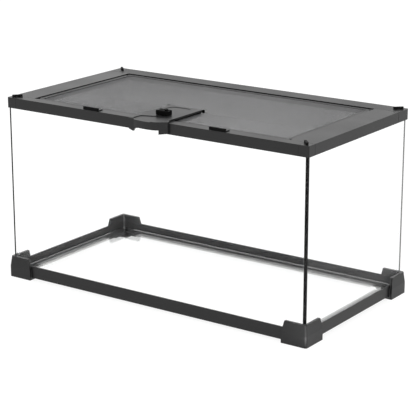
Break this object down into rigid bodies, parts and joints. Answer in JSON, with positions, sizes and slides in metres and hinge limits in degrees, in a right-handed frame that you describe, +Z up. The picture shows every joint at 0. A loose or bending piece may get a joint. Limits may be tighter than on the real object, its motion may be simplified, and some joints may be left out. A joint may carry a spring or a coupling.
{
  "type": "pet tank with mesh lid",
  "caption": "Long glass pet tank in a dark plastic frame with corner feet, a hinged mesh lid, and a small hatch in the lid with a slide bolt and rim clips.",
  "frame": {"origin": "centre of the object's box, on the surface that its feet rest on", "axes": "+X along the long front from left to right, +Y from the front with the hatch lip to the back, +Z up"},
  "size_m": [0.627, 0.3447, 0.3418],
  "materials": {
    "frame_plastic": "matte dark charcoal moulding",
    "lid_plastic": "matte dark charcoal moulding",
    "latch_plastic": "black moulding with a soft gloss",
    "screen": "dark coated woven wire mesh",
    "glass": "clear float glass with ground edges",
    "silicone": "translucent sealant",
    "rubber": "matte black rubber",
    "steel": "bright pin"
  },
  "bodies": {
    "tank": {"bottom_rail_front": "frame_plastic", "bottom_rail_back": "frame_plastic", "bottom_rail_left": "frame_plastic", "bottom_rail_right": "frame_plastic", "glass_front": "glass", "glass_back": "glass", "glass_left": "glass", "glass_right": "glass", "glass_floor": "glass", "foot_front_left": "frame_plastic", "foot_front_right": "frame_plastic", "foot_back_left": "frame_plastic", "foot_back_right": "frame_plastic", "silicone_front_left": "silicone", "silicone_front_right": "silicone", "silicone_back_left": "silicone", "silicone_back_right": "silicone", "top_corner_front_left": "frame_plastic", "top_corner_front_right": "frame_plastic", "top_corner_back_left": "frame_plastic", "top_corner_back_right": "frame_plastic", "corner_pad_front_left": "rubber", "corner_pad_front_right": "rubber", "corner_pad_back_left": "rubber", "corner_pad_back_right": "rubber", "top_rail_front": "frame_plastic", "top_rail_back": "frame_plastic", "top_rail_left": "frame_plastic", "top_rail_right": "frame_plastic", "lid_pin_left": "steel", "lid_pin_right": "steel"},
    "lid": {"lid_frame_front": "lid_plastic", "lid_frame_back": "lid_plastic", "lid_frame_left": "lid_plastic", "lid_frame_right": "lid_plastic", "screen_mesh": "screen", "screen_spline_front": "rubber", "screen_spline_back": "rubber", "screen_spline_left": "rubber", "screen_spline_right": "rubber", "hatch_ring": "lid_plastic"},
    "hatch": {"hatch_door": "lid_plastic", "hatch_pin": "steel"},
    "bolt": {"bolt_slide": "latch_plastic", "bolt_knob": "latch_plastic"},
    "clip_left": {"rim_clip_left": "latch_plastic", "clip_plate_left": "lid_plastic"},
    "clip_right": {"rim_clip_right": "latch_plastic", "clip_plate_right": "lid_plastic"}
  },
  "joints": [
    {"name": "lid_hinge", "type": "hinge", "parent": "tank", "child": "lid", "pos_m": [0, 0.13025, 0.3257], "axis": [-1, 0, 0], "range_deg": [0, 88]},
    {"name": "hatch_hinge", "type": "hinge", "parent": "lid", "child": "hatch", "pos_m": [0.0027, -0.05175, 0.3309], "axis": [-1, 0, 0], "range_deg": [0, 105]},
    {"name": "bolt_slide", "type": "slide", "parent": "hatch", "child": "bolt", "axis": [0, -1, 0], "range_m": [0, 0.004]},
    {"name": "clip_left_slide", "type": "slide", "parent": "tank", "child": "clip_left", "axis": [0, 1, 0], "range_m": [0, 0.008]},
    {"name": "clip_right_slide", "type": "slide", "parent": "tank", "child": "clip_right", "axis": [0, 1, 0], "range_m": [0, 0.008]}
  ]
}
